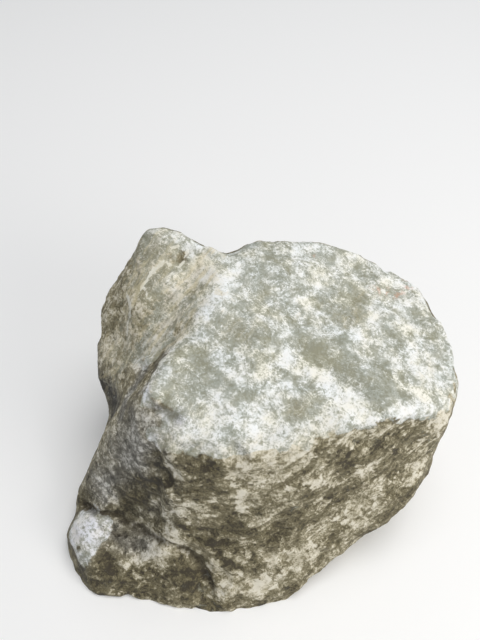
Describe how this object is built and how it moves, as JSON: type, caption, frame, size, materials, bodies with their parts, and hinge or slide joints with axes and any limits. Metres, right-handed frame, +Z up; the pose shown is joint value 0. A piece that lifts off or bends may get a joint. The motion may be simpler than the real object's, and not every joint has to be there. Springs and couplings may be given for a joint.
{
  "type": "alabaster block",
  "caption": "Rough quarried block of alabaster with a sloping slab-like top, a horn at one corner and a flat base, for carving or display.",
  "frame": {"origin": "centre of the bounding box, on the plane of the flat base", "axes": "+Z up, square to the flat base; +X along the long side, from the end with the toe and the horn to the overhanging end; -Y is the long sloping front"},
  "size_m": [0.536, 0.429, 0.3351],
  "materials": {
    "alabaster": "rough broken stone: grey-olive skin with white bruised patches, matt to faintly waxy"
  },
  "bodies": {
    "root": {"alabaster_block": "alabaster"}
  },
  "joints": []
}
